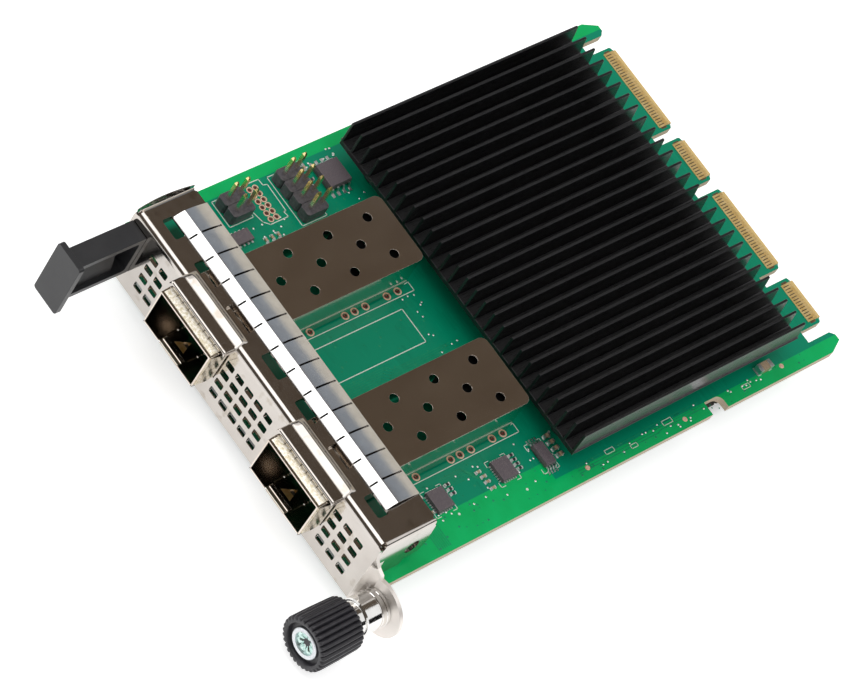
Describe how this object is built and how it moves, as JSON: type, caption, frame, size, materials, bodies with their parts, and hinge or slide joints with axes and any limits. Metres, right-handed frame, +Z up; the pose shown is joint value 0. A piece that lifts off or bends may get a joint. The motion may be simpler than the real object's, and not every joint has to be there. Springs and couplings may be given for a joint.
{
  "type": "ethernet adapter card",
  "caption": "Low mezzanine network card: folded perforated faceplate with transceiver ports, pull tab and captive thumbscrew, green board with a black finned heat sink and gold card edge.",
  "frame": {"origin": "middle of the board's width, at the faceplate's front face and the board's top surface", "axes": "+X along the faceplate towards the thumbscrew, +Y from the faceplate back to the card edge, +Z up from the board's top surface"},
  "size_m": [0.0832, 0.1306, 0.0205],
  "materials": {
    "board_laminate": "green solder mask over glass laminate",
    "contact_gold": "gold plated",
    "bracket_steel": "plated sheet steel",
    "cage_metal": "satin plated sheet",
    "spring_metal": "polished spring sheet",
    "connector_plastic": "moulded, black",
    "sink_anodised": "black anodised",
    "package_substrate": "laminate",
    "package_lid": "nickel plated",
    "soft_pad": "soft heat pad",
    "chip_mould": "moulded, black",
    "capacitor_ceramic": "ceramic with tinned ends",
    "film_black": "smooth film",
    "tab_plastic": "moulded, black",
    "screw_metal": "zinc plated",
    "thumbscrew_metal": "nickel plated",
    "knob_plastic": "moulded, black"
  },
  "bodies": {
    "card": {"bracket_screw_left": "screw_metal", "bracket_screw_right": "screw_metal", "bulk_capacitor": "capacitor_ceramic", "cage_collar_1": "spring_metal", "cage_collar_2": "spring_metal", "capacitor_1": "capacitor_ceramic", "capacitor_2": "capacitor_ceramic", "capacitor_3": "capacitor_ceramic", "capacitor_4": "capacitor_ceramic", "circuit_board": "board_laminate", "clock_chip": "chip_mould", "controller_lid": "package_lid", "controller_substrate": "package_substrate", "edge_contacts_bottom_1": "contact_gold", "edge_contacts_bottom_2": "contact_gold", "edge_contacts_bottom_3": "contact_gold", "edge_contacts_bottom_4": "contact_gold", "edge_contacts_top_1": "contact_gold", "edge_contacts_top_2": "contact_gold", "edge_contacts_top_3": "contact_gold", "edge_contacts_top_4": "contact_gold", "front_bracket": "bracket_steel", "heat_sink": "sink_anodised", "heat_sink_screw_1": "screw_metal", "heat_sink_screw_2": "screw_metal", "heat_sink_screw_3": "screw_metal", "heat_sink_screw_4": "screw_metal", "host_connector_1": "connector_plastic", "host_connector_2": "connector_plastic", "insulating_film": "film_black", "memory_chip": "chip_mould", "pin_header_large": "connector_plastic", "pin_header_small": "connector_plastic", "power_switch": "chip_mould", "pull_tab": "tab_plastic", "regulator_1": "chip_mould", "regulator_2": "chip_mould", "sfp_cage_1": "cage_metal", "sfp_cage_2": "cage_metal", "side_emi_spring": "spring_metal", "thermal_pad": "soft_pad", "thumbscrew_sleeve": "thumbscrew_metal", "top_emi_spring": "spring_metal", "translator_chip_1": "chip_mould", "translator_chip_2": "chip_mould"},
    "thumbscrew_turner": {"thumbscrew_spring": "thumbscrew_metal"},
    "thumbscrew": {"thumbscrew_knob": "knob_plastic", "thumbscrew_screw": "thumbscrew_metal"}
  },
  "joints": [
    {"name": "thumbscrew_spin", "type": "hinge", "parent": "card", "child": "thumbscrew_turner", "pos_m": [0.0395, -0.008, -0.0033], "axis": [0, 1, 0], "continuous": true},
    {"name": "thumbscrew_travel", "type": "slide", "parent": "thumbscrew_turner", "child": "thumbscrew", "axis": [0, 1, 0], "range_m": [0, 0.002], "stiffness_N_per_m": 500, "deforming": ["thumbscrew_spring"]}
  ]
}
